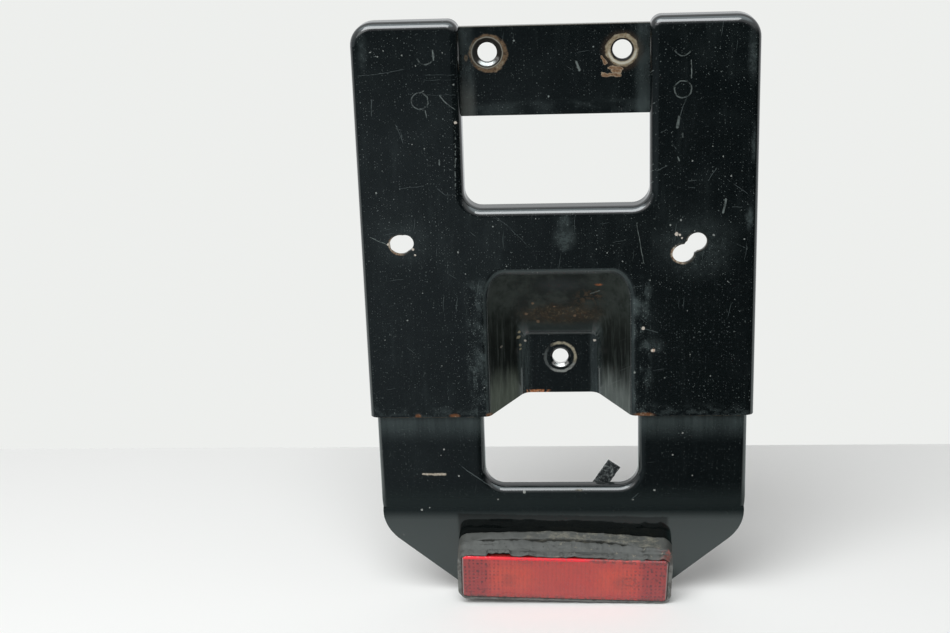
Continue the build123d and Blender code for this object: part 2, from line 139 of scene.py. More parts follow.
class Network:
    """The nodes of one material or of the room's light, with places in millimetres."""

    def __init__(self, tree, coordinates, scale):
        self.tree = tree
        metres = self.node("ShaderNodeTexCoord", {}, {}, coordinates)
        self.place = self.vector("SCALE", metres, scale=scale)

    def node(self, kind, settings, values, output=0):
        """Any node: its settings first, then the values or links of its sockets."""
        node = self.tree.nodes.new(kind)
        for key, value in settings.items():
            setattr(node, key, value)
        for key, value in values.items():
            if isinstance(value, Wire):
                self.tree.links.new(value.socket, node.inputs[key])
            else:
                node.inputs[key].default_value = value
        return Wire(self, node.outputs[output])

    def vector(self, operation, first, second=(0, 0, 0), scale=1.0, output="Vector"):
        values = {0: first, 3: scale} if operation == "SCALE" else {0: first, 1: second}
        return self.node("ShaderNodeVectorMath", {"operation": operation}, values, output)

    def axis(self, letter, of=None):
        """One coordinate of a place or a vector."""
        return self.node("ShaderNodeSeparateXYZ", {}, {0: of or self.place}, letter)

    def pair(self, first, second):
        """A flat place from two coordinates."""
        return self.node("ShaderNodeCombineXYZ", {}, {0: first, 1: second})

    def along(self, direction, origin=(0, 0, 0), at=None):
        """How far a point lies along a direction from an origin."""
        offset = self.vector("SUBTRACT", at or self.place, origin)
        return self.vector("DOT_PRODUCT", offset, direction, output="Value")

    def turned(self, vector, angle):
        """A vector turned about Y by an angle in degrees."""
        values = {"Vector": vector, "Angle": radians(angle)}
        return self.node("ShaderNodeVectorRotate", {"rotation_type": "Y_AXIS"}, values)

    def mix(self, share, below, above):
        """A colour between two colours."""
        settings = {"data_type": "RGBA", "clamp_factor": True}
        return self.node("ShaderNodeMix", settings, {0: share, 6: below, 7: above}, 2)

    def smooth(self, value, start, end, low=0.0, high=1.0):
        """low before start and high after end, with a soft step between them."""
        settings = {"interpolation_type": "SMOOTHSTEP", "clamp": True}
        values = {"Value": value, "From Min": start, "From Max": end, "To Min": low, "To Max": high}
        return self.node("ShaderNodeMapRange", settings, values)

    def grain(self, size, detail=2.0, rough=0.5, stretch=(1, 1, 1), at=None, output="Fac"):
        """Cloudy noise with blobs about size millimetres across."""
        spread = self.vector("MULTIPLY", at or self.place, stretch)
        values = {"Vector": spread, "Scale": 1 / size, "Detail": detail, "Roughness": rough}
        return self.node("ShaderNodeTexNoise", {}, values, output)

    def patches(self, size, start, end, detail=4.0, rough=0.65, stretch=(1, 1, 1), at=None):
        """A mask of irregular patches: more of them the lower start and end are."""
        return self.smooth(self.grain(size, detail, rough, stretch, at), start, end)

    def bent(self, amount, size, detail=2.0):
        """The place, pushed about by up to amount millimetres, so that marks get ragged outlines."""
        push = self.vector("SUBTRACT", self.grain(size, detail, 0.6, output="Color"), (0.5, 0.5, 0.5))
        return self.vector("ADD", self.place, self.vector("SCALE", push, scale=2 * amount))

    def flat(self, at=None):
        """The face of a plate as a flat place, slanted a little so that its flanges have a pattern too."""
        slant = 0.7 * self.axis("Y", at)
        return self.pair(self.axis("X", at) + slant, self.axis("Z", at) + slant)

    def dots(self, size, radius, share, at=None):
        """Dots up to that radius, one to a cell of that size, in that share of the cells."""
        cell = {"Vector": at or self.flat(), "Scale": 1 / size}
        settings = {"feature": "F1", "voronoi_dimensions": "2D"}
        away = self.node("ShaderNodeTexVoronoi", settings, cell, "Distance")
        chance = Wire(self, away.socket.node.outputs["Color"])
        reach = self.smooth(self.axis("Y", chance), 0, 1, 0.4 * radius / size, radius / size)
        return self.smooth(away, reach, 0.5 * reach) * (share - self.axis("X", chance)).above(0)

    def scratches(self, turn, length, width, spacing, share):
        """Fine scratches that all run about one way, in that share of rows that far apart."""
        along = self.turned(self.bent(1.2, 17), turn)
        drawn = self.vector("MULTIPLY", self.flat(along), (2 * width / length, 1, 0))
        return self.dots(spacing, width, share, drawn)

    def oval(self, x, z, half_width, half_height, soft, at=None):
        """A mask round one point of the face of the plate, 1 inside."""
        offset = self.vector("SUBTRACT", at or self.place, (x, 0, z))
        unit = self.vector("MULTIPLY", offset, (1 / half_width, 0, 1 / half_height))
        edge = soft / min(half_width, half_height)
        return self.smooth(self.vector("LENGTH", unit, output="Value"), 1 + edge, 1 - edge)

    def radius(self, x, z, at=None):
        """How far a point of the face lies from a centre."""
        offset = self.vector("MULTIPLY", self.vector("SUBTRACT", at or self.place, (x, 0, z)), (1, 0, 1))
        return self.vector("LENGTH", offset, output="Value")

    def ring(self, x, z, radius, half_width, at=None):
        """A circular mark on the face of the plate."""
        return self.smooth(abs(self.radius(x, z, at) - radius), half_width, 0.3 * half_width)

    def sector(self, x, z, angle, spread):
        """1 on the side of a centre that an angle in degrees points to, from the right through the top."""
        offset = self.vector("MULTIPLY", self.vector("SUBTRACT", self.place, (x, 0, z)), (1, 0, 1))
        way = self.vector("NORMALIZE", offset)
        toward = (cos(radians(angle)), 0, sin(radians(angle)))
        return self.smooth(self.along(toward, at=way), cos(radians(spread)), cos(radians(0.6 * spread)))

    def lines(self, marks, at=None):
        """Straight marks on the face of the plate, each from one point to another with its half width."""
        face = self.vector("MULTIPLY", at or self.place, (1, 0, 1))
        nearest = None
        for start, end, half_width in marks:
            run = Vector((end[0] - start[0], 0, end[1] - start[1]))
            offset = self.vector("SUBTRACT", face, (start[0], 0, start[1]))
            share = self.vector("DOT_PRODUCT", offset, run / run.length_squared, output="Value")
            on_line = self.vector("SCALE", tuple(run), scale=share.larger(0).smaller(1))
            off = self.vector("DISTANCE", offset, on_line, output="Value") / half_width
            nearest = off if nearest is None else nearest.smaller(off)
        return self.smooth(nearest, 1.0, 0.4)

    def wave(self, value, spacing):
        """1 to -1 and back over each stretch of that many millimetres."""
        turn = value * (2 * pi / spacing)
        return turn.math("COSINE", turn)

    def spots(self, places, at=None):
        """Round marks on the face of the plate, each at x, z with its radius."""
        face = self.vector("MULTIPLY", at or self.place, (1, 0, 1))
        nearest = None
        for x, z, radius in places:
            off = self.vector("DISTANCE", face, (x, 0, z), output="Value") / radius
            nearest = off if nearest is None else nearest.smaller(off)
        return self.smooth(nearest, 1.1, 0.7)


class Finish(Network):
    """A surface finish in layers: each cover lies over those before it."""

    def __init__(self, name, colour, roughness, metallic=0.0, coat=0.0, **steady):
        self.material = bpy.data.materials.new(name)
        self.material.use_nodes = True
        super().__init__(self.material.node_tree, "Object", 1 / mm)
        self.shader = self.tree.nodes["Principled BSDF"]
        for socket, value in steady.items():
            self.shader.inputs[socket.replace("_", " ")].default_value = value
        self.colour = colour
        self.roughness = roughness
        self.metallic = metallic
        self.coat = coat
        self.height = None
        self.front_only = None

    def keep_to_front(self):
        """Leaves surfaces that face back plain from here on."""
        way = self.node("ShaderNodeTexCoord", {}, {}, "Normal")
        self.front_only = self.smooth(self.axis("Y", way), 0.45, 0.25)

    def cover(self, mask, colour=None, roughness=None, metallic=None, coat=None, lift=0.0):
        """Lays another finish over the last one where the mask is 1, lifted by that many millimetres."""
        if self.front_only is not None:
            mask = mask * self.front_only
        if colour is not None:
            self.colour = self.mix(mask, self.colour, colour)
        if roughness is not None:
            self.roughness = self.roughness + mask * (roughness - self.roughness)
        if metallic is not None:
            self.metallic = self.metallic + mask * (metallic - self.metallic)
        if coat is not None:
            self.coat = self.coat + mask * (coat - self.coat)
        if lift:
            self.raise_by(mask * lift)

    def raise_by(self, height):
        """Adds a height in millimetres to the bump."""
        if self.front_only is not None:
            height = height * self.front_only
        self.height = height if self.height is None else self.height + height

    def made(self):
        """The finished material, with its heights as a bump."""
        if self.height is not None:
            values = {"Strength": 1.0, "Distance": mm, "Height": self.height}
            bump = self.node("ShaderNodeBump", {}, values)
            self.tree.links.new(bump.socket, self.shader.inputs["Normal"])
        layers = {
            "Base Color": self.colour,
            "Roughness": self.roughness,
            "Metallic": self.metallic,
            "Coat Weight": self.coat,
        }
        for name, value in layers.items():
            if isinstance(value, Wire):
                self.tree.links.new(value.socket, self.shader.inputs[name])
            else:
                self.shader.inputs[name].default_value = value
        return self.material


# Colours of the finishes
enamel_black = (0.0026, 0.0042, 0.0046, 1)
haze_and_sheen_grey = (0.064, 0.082, 0.082, 1)
dust_grey = (0.135, 0.158, 0.152, 1)
scratch_grey = (0.105, 0.128, 0.128, 1)
rust_dark = (0.040, 0.022, 0.014, 1)
rust_brown = (0.115, 0.048, 0.022, 1)
rust_orange = (0.33, 0.125, 0.050, 1)
primer_tan = (0.235, 0.195, 0.145, 1)
chip_pale = (0.42, 0.38, 0.33, 1)
bare_steel = (0.52, 0.51, 0.49, 1)


def black_enamel(name, dust=1.0):
    """Old black enamel under a clear gloss, with haze in clouds and streaks, dust dots and fine scratches."""
    paint = Finish(name, enamel_black, 0.60, coat=1.0, IOR=1.04, Coat_IOR=1.68, Coat_Roughness=0.075)
    paint.cover(paint.patches(24, 0.44, 0.78) * (0.06 * dust), haze_and_sheen_grey, 0.6)
    paint.cover(paint.patches(4.0, 0.50, 0.76, stretch=(1, 1, 0.12)) * (0.06 * dust), haze_and_sheen_grey, 0.6)
    crowd = paint.patches(17, 0.40, 0.62)
    for size, radius, share, strength in ((2.6, 0.34, 0.28, 0.66), (1.2, 0.22, 0.36, 0.55)):
        dots = paint.dots(size, radius, share) * (0.40 + 0.60 * crowd)
        paint.cover(dots * (strength * dust), dust_grey, 0.70)
    for turn, length, share in ((8, 9, 0.16), (84, 11, 0.40), (-35, 7, 0.14)):
        lines = paint.scratches(turn, length, 0.13, 3.2, share)
        paint.cover(lines * (0.40 * dust), scratch_grey, 0.50)
    paint.raise_by(paint.grain(1.7, 2, 0.5) * 0.0022)
    paint.raise_by(paint.grain(24, 1, 0.4) * 0.08)
    return paint


def rust_patch(paint, mask, colours=(rust_dark, rust_brown, primer_tan), size=1.4):
    """Rust and bare primer with a crusty surface, in three colours from its own grain."""
    crust = paint.grain(size, 5, 0.7)
    colour = paint.mix(paint.smooth(crust, 0.36, 0.50), colours[0], colours[1])
    colour = paint.mix(paint.smooth(crust, 0.50, 0.66), colour, colours[2])
    paint.cover(mask, colour, 0.78, coat=0.0)
    paint.raise_by(mask * crust * 0.10)


# Marks on the upper plate: ends and half width of each line, in millimetres
faint_lines = (
    ((-56.5, -16.4), (-43.8, -16.7), 0.15),
    ((-57.3, -7.5), (-43.1, -7.8), 0.13),
    ((-57.4, -9.7), (-43.2, -10.0), 0.13),
    ((-86.9, -7.3), (-76.0, -6.4), 0.20),
    ((-76.0, -6.4), (-65.9, -4.7), 0.16),
    ((-81.2, -18.1), (-81.5, -25.3), 0.30),
    ((-71.0, -29.4), (-68.3, -37.3), 0.22),
    ((-69.2, -31.7), (-68.5, -35.4), 0.20),
    ((-53.6, -59.0), (-49.9, -61.9), 0.22),
    ((-49.9, -61.9), (-45.9, -62.3), 0.20),
    ((-70.9, -58.7), (-59.8, -57.7), 0.16),
    ((-28.9, -71.5), (-22.0, -77.0), 0.15),
    ((-22.0, -77.0), (-12.8, -87.2), 0.13),
    ((57.9, -19.3), (54.9, -27.6), 0.22),
    ((59.0, -57.4), (62.4, -57.1), 0.25),
    ((59.0, -60.2), (61.6, -60.6), 0.25),
    ((71.1, -51.7), (67.8, -57.2), 0.20),
    ((44.7, -52.4), (49.7, -50.1), 0.25),
    ((51.2, -39.6), (53.2, -42.6), 0.22),
    ((46.6, -35.2), (48.9, -34.2), 0.25),
    ((78.9, -59.0), (85.1, -63.8), 0.22),
    ((78.3, -69.7), (82.9, -69.7), 0.20),
    ((80.9, -87.0), (84.0, -88.6), 0.22),
    ((39.5, -126.8), (45.4, -128.6), 0.25),
)
clear_lines = (
    ((-51.0, -16.9), (-47.6, -20.8), 0.30),
    ((-47.6, -20.8), (-44.4, -23.1), 0.24),
    ((-52.8, -1.0), (-53.2, 3.2), 0.40),
    ((-59.6, -15.6), (-58.0, -14.6), 0.30),
    ((-57.6, -23.4), (-56.9, -26.5), 0.24),
    ((-85.3, -81.2), (-77.5, -85.0), 0.22),
    ((-52.1, -45.9), (-52.2, -47.9), 0.40),
    ((35.9, -77.4), (39.0, -95.3), 0.22),
    ((59.7, -3.6), (59.7, -11.4), 0.28),
    ((54.3, -28.4), (53.8, -33.2), 0.75),
    ((75.5, -66.0), (74.5, -72.2), 0.60),
    ((56.1, -36.0), (56.3, -37.4), 0.40),
    ((53.9, -46.6), (54.5, -48.0), 0.35),
)
# Centre and radius of each spot, in millimetres
dust_spots = (
    (-64.1, -38.5, 0.34), (-58.7, -40.6, 0.30), (-81.6, -60.5, 0.46), (-66.8, 1.4, 0.34),
    (-60.9, -3.3, 0.30), (-80.8, 2.9, 0.34), (-77.6, 1.2, 0.34), (-74.9, 3.6, 0.27),
    (-48.9, 2.0, 0.30), (-44.6, -12.0, 0.42), (-29.1, -77.2, 0.34), (-9.6, -73.6, 0.32),
    (-45.3, -88.9, 0.38), (-42.2, -99.2, 0.34), (-23.4, -95.8, 0.30), (77.7, -55.4, 0.42),
    (69.5, -41.9, 0.30), (74.1, -46.7, 0.32), (60.4, -48.4, 0.34), (70.4, -82.5, 0.49),
    (61.9, -80.4, 0.32), (53.3, -87.2, 0.34), (51.0, -77.6, 0.46), (55.6, -75.3, 0.46),
    (84.0, -84.6, 0.38), (17.6, -88.3, 0.30), (22.4, -90.0, 0.38), (29.5, -94.4, 0.34),
    (41.9, -103.4, 0.34), (-35.4, -155.1, 0.34), (34.6, -148.1, 0.53), (48.6, -150.8, 0.30),
    (60.2, -139.5, 0.27), (69.8, -150.2, 0.30), (-70.1, -121.4, 0.30), (-62.4, -108.3, 0.27),
    (-81.0, -131.0, 0.27), (-55.0, -143.9, 0.27), (58.8, -118.2, 0.27), (76.9, -104.4, 0.30),
)
pale_chips = (
    (-44.3, -29.1, 0.65), (-77.2, -84.7, 0.60), (-65.9, -87.2, 0.70), (-65.0, -90.1, 0.45),
    (38.7, -126.5, 0.85), (53.7, -81.8, 0.90), (55.2, -82.2, 0.60), (56.0, -83.7, 0.45),
    (16.4, -139.5, 0.75), (-16.6, -139.3, 0.55), (-27.4, -137.8, 0.60),
)


def weld_marks(paint):
    """Broken rings where the arms are welded to the strap behind them."""
    broken = paint.patches(3.2, 0.42, 0.56, 3)
    near = paint.bent(0.55, 2.6, 3)
    for x, z, angle, spread, strength in (
        (-56.5, 0.9, -60, 120, 0.42),
        (-59.8, -19.0, 20, 200, 0.45),
        (56.0, 2.2, -95, 75, 0.42),
        (56.1, -16.2, 60, 200, 0.50),
    ):
        arc = paint.ring(x, z, 3.75, 0.42, near)
        if spread < 180:
            arc = arc * paint.sector(x, z, angle, spread)
        paint.cover(arc * (0.25 + 0.75 * broken) * strength, dust_grey, 0.5)
        paint.raise_by(paint.oval(x, z, 3.6, 3.6, 0.8) * -0.06)


def pocket_wear(paint, ragged, loose):
    """Drawn pocket: dull mouth with a painted highlight on its rim, stained top wall, streaked sides with a
    painted reflection, painted highlights on the floor's bends, washer mark and rusty lower edge.
    """
    x, y, z = (paint.axis(letter) for letter in "XYZ")
    aside = abs(x)
    region = paint.smooth(aside, pocket_half_width + 1, pocket_half_width)
    region = region * paint.smooth(z, pocket_top + 1, pocket_top)
    wall = paint.smooth(y, -12.6, -11.6) * paint.smooth(y, 7.8, 6.4) * region
    # Walls, matt with cloudy grime
    upper = wall * paint.smooth(z, -143, -128)
    paint.cover(upper * 0.90, (0.0080, 0.0105, 0.0092, 1), 0.60, coat=0.04)
    paint.cover(upper * paint.patches(8, 0.42, 0.66, 5, 0.6) * 0.55, (0.034, 0.041, 0.036, 1), 0.60)
    corners = paint.smooth(aside, 14, 25) * paint.smooth(z, -136, -116)
    paint.cover(upper * corners * paint.patches(5, 0.40, 0.62, 4) * 0.55, (0.036, 0.043, 0.040, 1), 0.60)
    shade = paint.oval(0.5, -106.5, 9.5, 3.6, 2.5, loose) * upper
    paint.cover(shade * 0.75, (0.0055, 0.0085, 0.0090, 1), 0.40, coat=0.35)
    # Brown stains on the top wall
    stains = paint.oval(1.5, -124.0, 17.0, 5.2, 3.0, loose) * wall
    soaked = 0.35 + 0.65 * paint.patches(2.6, 0.40, 0.58, 5, 0.7)
    paint.cover(stains * soaked * 0.9, (0.026, 0.019, 0.011, 1), 0.60)
    paint.cover(stains * paint.patches(1.7, 0.52, 0.62, 5, 0.7) * 0.75, (0.056, 0.040, 0.021, 1), 0.65)
    blots = paint.dots(2.1, 0.60, 0.40, paint.flat(loose))
    paint.cover(stains * blots * 0.60, (0.085, 0.066, 0.043, 1), 0.7)
    second = paint.oval(14.5, -114.5, 6.5, 4.5, 2.5, loose) * paint.patches(2.2, 0.48, 0.60) * wall
    paint.cover(second * 0.65, (0.055, 0.036, 0.020, 1), 0.7)
    orange = paint.oval(18.6, -106.8, 1.5, 0.55, 0.35, ragged) * wall
    rust_patch(paint, orange * 0.85, (rust_brown, (0.23, 0.085, 0.040, 1), rust_orange))
    crumbs = (
        (-12.3, -117.5, 0.75), (-10.1, -128.4, 0.9), (-2.2, -119.5, 0.5), (7.3, -125.0, 0.75),
        (-15.6, -123.7, 0.8),
    )
    paint.cover(paint.spots(crumbs, ragged) * wall * 0.7, (0.150, 0.095, 0.058, 1), 0.7)
    scrape = paint.lines((((14.8, -112.0), (18.9, -110.2), 0.30),), ragged)
    paint.cover(scrape * wall * 0.55, dust_grey, 0.6)
    # Side walls, streaked downwards, paler at the bottom: a painted reflection, lighter on the right wall as
    # if lit from the left
    side = wall * paint.smooth(aside, 18.0, 21.5)
    streaks = paint.patches(2.6, 0.44, 0.66, 4, 0.7, stretch=(1, 1, 0.10))
    paint.cover(side, coat=0.05)
    paint.cover(side * (0.30 + 0.55 * streaks), (0.027, 0.032, 0.029, 1), 0.40)
    dark = side * paint.smooth(z, -117, -128) * (1 - streaks)
    paint.cover(dark * 0.6, (0.0055, 0.0064, 0.0056, 1))
    drips = 16 * paint.grain(3.4, 3, 0.6, stretch=(1, 1, 0.14))
    low = paint.smooth(z + drips, -139, -155)
    # Painted light: the right wall's pale tone lighter than the left's.
    pale = paint.mix(paint.smooth(x, -5, 5), (0.078, 0.092, 0.074, 1), (0.106, 0.122, 0.115, 1))
    paint.cover(side * low * (0.70 + 0.30 * streaks), pale, 0.50, coat=0.10)
    # Painted highlights along the bends round the pocket's floor: streaked on its sides, plain along its top.
    bends = paint.smooth(aside, 21.5, 19.0) * paint.smooth(aside, 13.0, 15.5) * paint.smooth(z, -128, -134)
    floor_side_highlight = bends * paint.smooth(y, 2.0, 5.0) * region
    paint.cover(floor_side_highlight * (0.30 + 0.50 * streaks) * 0.50, haze_and_sheen_grey, 0.45)
    floor_top_highlight = paint.smooth(z, -135.5, -133.5) * paint.smooth(y, 3.0, 5.5) * region
    paint.cover(floor_top_highlight * 0.22, haze_and_sheen_grey, 0.40)
    chips = ((-19.6, -136.6, 0.9), (-19.2, -134.0, 0.7), (-18.9, -140.9, 0.75), (-18.8, -142.9, 0.55))
    paint.cover(paint.spots(chips, ragged) * wall * 0.8, (0.25, 0.22, 0.15, 1), 0.6)
    # Rim, where the plate bends in: a painted highlight along it, brighter along the top
    rim = paint.smooth(y, -13.55, -13.35) * paint.smooth(y, -12.5, -13.0) * region
    paint.cover(rim * (0.26 + 0.26 * paint.smooth(z, -108, -102)), (0.062, 0.078, 0.078, 1), 0.40, coat=0.5)
    # Mark of the bolt's washer
    centre = (0, pocket_hole_height)
    seat = paint.ring(*centre, 7.2, 0.95, ragged) * paint.smooth(y, 7.0, 8.0)
    paint.cover(seat * paint.sector(*centre, 225, 95) * 0.60, (0.085, 0.096, 0.094, 1), 0.50)
    paint.cover(seat * paint.sector(*centre, -75, 62) * 0.75, (0.24, 0.25, 0.235, 1), 0.55)
    paint.cover(seat * paint.sector(*centre, 50, 85) * 0.90, (0.27, 0.245, 0.180, 1), 0.70)
    paint.cover(seat * paint.patches(1.6, 0.55, 0.63, 4) * 0.7, (0.030, 0.028, 0.024, 1), 0.6)
    bore = paint.smooth(paint.radius(*centre), 5.5, 4.6) * region
    paint.cover(bore * paint.sector(*centre, -90, 60), bare_steel, 0.22, 1.0)
    # Rust along the cut lower edge
    edge = paint.smooth(z, pocket_edge + 0.6, pocket_edge) * paint.smooth(y, 5.5, 7.0)
    rust = paint.patches(2.2, 0.42, 0.52) * paint.smooth(abs(x + 11.5), 7.5, 4.0)
    rust_patch(paint, edge * rust * region, (rust_brown, rust_orange, primer_tan), 1.0)


def upper_plate_paint():
    paint = black_enamel("upper_plate_enamel")
    paint.keep_to_front()
    ragged = paint.bent(0.55, 1.6, 3)
    loose = paint.bent(1.8, 5, 3)
    x, z = paint.axis("X"), paint.axis("Z")
    face = paint.smooth(paint.axis("Y"), -12.9, -13.3)
    weld_marks(paint)
    # Haze wiped round the holes, at the middle of the crossbar and along the sides
    for place, half_width, half_height, soft, strength in (
        ((3.5, -75.0), 2.8, 2.2, 1.6, 0.50),
        ((3.5, -82.5), 4.0, 4.4, 3.0, 0.50),
        ((2.6, -87.6), 1.8, 1.8, 1.5, 0.35),
        ((62, -88), 15, 13, 7, 0.22),
        ((-70, -84), 11, 9, 6, 0.14),
        ((86.4, -2), 1.6, 7.5, 2, 0.55),
        ((87.6, -41), 1.0, 6.5, 1, 0.50),
        ((86.2, -75), 1.4, 4.0, 1, 0.55),
        ((-84.2, 3.5), 1.3, 6.0, 1.5, 0.35),
        ((36.3, -115.8), 1.9, 3.6, 1.4, 0.60),
        ((43.5, -135.0), 4.5, 2.5, 2.0, 0.30),
        ((-36.5, -143.0), 3.2, 5.0, 2.5, 0.40),
        ((-35.5, -106.5), 2.6, 3.6, 2.0, 0.35),
    ):
        mask = paint.oval(*place, half_width, half_height, soft, loose)
        paint.cover(mask * face * strength * (0.45 + 0.55 * paint.patches(1.6, 0.40, 0.62)), haze_and_sheen_grey, 0.5)
    # Dust lies thickest beside the pocket
    beside = paint.smooth(abs(abs(x) - 37), 7.5, 3.0) * paint.smooth(z, -100, -108) * face
    clouds = paint.patches(3.6, 0.46, 0.64, stretch=(1, 1, 0.5))
    paint.cover(beside * clouds * 0.32, haze_and_sheen_grey, 0.5)
    paint.cover(beside * paint.dots(1.25, 0.27, 0.55) * (0.3 + 0.6 * clouds), dust_grey, 0.7)
    foot = paint.smooth(z, -162, -168.5) * face
    paint.cover(foot * paint.patches(2.4, 0.44, 0.66, stretch=(0.5, 1, 1)) * 0.26, haze_and_sheen_grey, 0.5)
    # Single scratches, spots and chips
    wavy = paint.bent(0.5, 4)
    uneven = 0.35 + 0.65 * paint.patches(2.4, 0.38, 0.60)
    paint.cover(paint.lines(faint_lines, wavy) * face * uneven * 0.36, scratch_grey, 0.45)
    dashes = paint.lines((((-44.3, -30.7), (-45.5, -62.3), 0.35),), wavy) * paint.patches(1.8, 0.46, 0.56)
    paint.cover(dashes * 0.6, dust_grey, 0.6)
    paint.cover(paint.lines(clear_lines, wavy) * face * uneven * 0.75, dust_grey, 0.5)
    paint.cover(paint.spots(dust_spots, ragged) * face * 0.70, (0.24, 0.26, 0.245, 1), 0.7)
    paint.cover(paint.spots(pale_chips, ragged), chip_pale, 0.7, lift=-0.03)
    pit = paint.oval(43.2, -137.4, 1.0, 0.8, 0.25, ragged)
    rust_patch(paint, pit, (rust_orange, chip_pale, chip_pale), 0.8)
    pocket_wear(paint, ragged, loose)
    # Rust on the bottom edge beside the pocket
    lip = paint.smooth(z, -167.3, -168.8)
    for centre, half in ((-49.9, 2.2), (-67.1, 1.3), (39.0, 4.4), (-33.5, 1.4)):
        spot = paint.oval(centre, -169.2, half, 1.2, 0.5, ragged) * lip
        rust_patch(paint, spot * 0.85, (rust_brown, rust_brown, primer_tan))
    # Worn number plate holes, rusty on their left and lower left
    for place, half_width, half_height, reach in (
        ((-71.6, -84.9), 5.4, 5.0, 1.0),
        ((62.9, -85.6), 4.9, 4.6, 0.3),
        ((56.8, -91.0), 5.6, 5.0, 1.0),
    ):
        rim = paint.oval(*place, half_width, half_height, 0.35, ragged)
        left = paint.smooth(paint.along((-0.86, 0, -0.5), (place[0], 0, place[1])), 0.0, 3.4)
        rust_patch(paint, rim * (0.10 + (0.9 * reach) * left), (rust_brown, primer_tan, chip_pale))
    return paint.made()


def strap_paint():
    paint = black_enamel("cross_strap_enamel", 0.8)
    paint.keep_to_front()
    ragged = paint.bent(0.55, 2.4, 3)
    near = paint.bent(0.18, 2)
    x, z = paint.axis("X"), paint.axis("Z")
    # Left hole: muted rust round a pale line, a dark recess and a bright lower edge
    left = (-bolt_offset, 0)
    tans = ((0.042, 0.030, 0.020, 1), (0.105, 0.070, 0.043, 1), (0.165, 0.145, 0.105, 1))
    torn = paint.bent(1.5, 3.4, 4)
    rust_patch(paint, paint.oval(-29.4, -0.4, 8.5, 8.5, 0.5, torn) * 0.92, tans, 1.8)
    rust_patch(paint, paint.oval(-39.4, -2.2, 0.8, 1.4, 0.3, ragged) * 0.8, tans)
    paint.cover(paint.smooth(paint.radius(*left, near), 7.4, 7.1), (0.030, 0.027, 0.022, 1), 0.5)
    paint.cover(paint.ring(*left, 6.9, 0.35, near) * 0.75, (0.20, 0.19, 0.16, 1), 0.5)
    paint.cover(paint.smooth(paint.radius(*left, near), 6.6, 6.3), (0.022, 0.021, 0.019, 1), 0.25, 0.3)
    crescent = paint.ring(*left, 5.3, 0.95, near) * paint.sector(*left, -80, 62)
    paint.cover(crescent, bare_steel, 0.25, 1.0)
    # Right hole: its washer wore the paint to a tan ring and tore a flake from it
    right = (bolt_offset, 0)
    paint.cover(paint.oval(bolt_offset, -0.5, 8.8, 8.4, 1.8, ragged) * 0.6, (0.036, 0.025, 0.017, 1), 0.7)
    worn = ((0.120, 0.085, 0.052, 1), (0.190, 0.160, 0.110, 1), (0.270, 0.245, 0.185, 1))
    rust_patch(paint, paint.smooth(paint.radius(*right, torn), 7.6, 6.8) * 0.95, worn)
    # Worn metal on the ring's lower edge, painted brighter there as a highlight.
    shine = paint.ring(*right, 6.0, 0.75, near) * paint.sector(*right, -85, 100)
    paint.cover(shine * 0.85, (0.50, 0.48, 0.40, 1), 0.40, 0.4)
    paint.cover(paint.smooth(paint.radius(*right, near), 5.3, 5.0), (0.020, 0.020, 0.020, 1), 0.3)
    tail = paint.lines((
        ((24.6, -7.6), (29.0, -8.3), 1.0),
        ((25.9, -9.4), (28.3, -9.8), 1.2),
        ((20.9, -11.0), (28.9, -11.6), 0.85),
        ((21.2, -3.0), (22.4, -5.5), 0.85),
    ), torn)
    paint.cover(paint.smooth(tail, 0.0, 0.30), (0.27, 0.225, 0.165, 1), 0.7)
    rust_patch(paint, tail, ((0.075, 0.042, 0.026, 1), (0.140, 0.085, 0.050, 1), (0.22, 0.165, 0.11, 1)))
    # Dust on the ends and a few marks, and a painted highlight along the top edge
    ends = paint.smooth(abs(x), 34.5, 38.5)
    low = paint.smooth(z, -8, -24)
    clouds = paint.patches(4, 0.40, 0.65, stretch=(1, 1, 0.5))
    paint.cover(ends * (0.16 + 0.20 * low + 0.18 * clouds), haze_and_sheen_grey, 0.5)
    paint.cover(ends * low * paint.smooth(x, 0, -1) * 0.22, (0.13, 0.120, 0.100, 1), 0.6)
    # Painted highlight along the strap's top edge.
    paint.cover(paint.smooth(z, 11.3, 11.7) * 0.6, (0.22, 0.21, 0.18, 1), 0.6)
    paint.cover(paint.lines((((9.6, -5.2), (11.0, -8.6), 0.70),), ragged) * 0.75, dust_grey, 0.6)
    specks = ((-17.8, 5.0, 0.45), (17.2, 1.6, 0.4), (-3.0, -20.1, 0.4))
    paint.cover(paint.spots(specks, ragged), dust_grey, 0.7)
    shade = paint.smooth(z, -20.5, -24.5) * paint.patches(7, 0.42, 0.62, stretch=(0.4, 1, 1))
    paint.cover(shade * 0.18, haze_and_sheen_grey, 0.4)
    return paint.made()


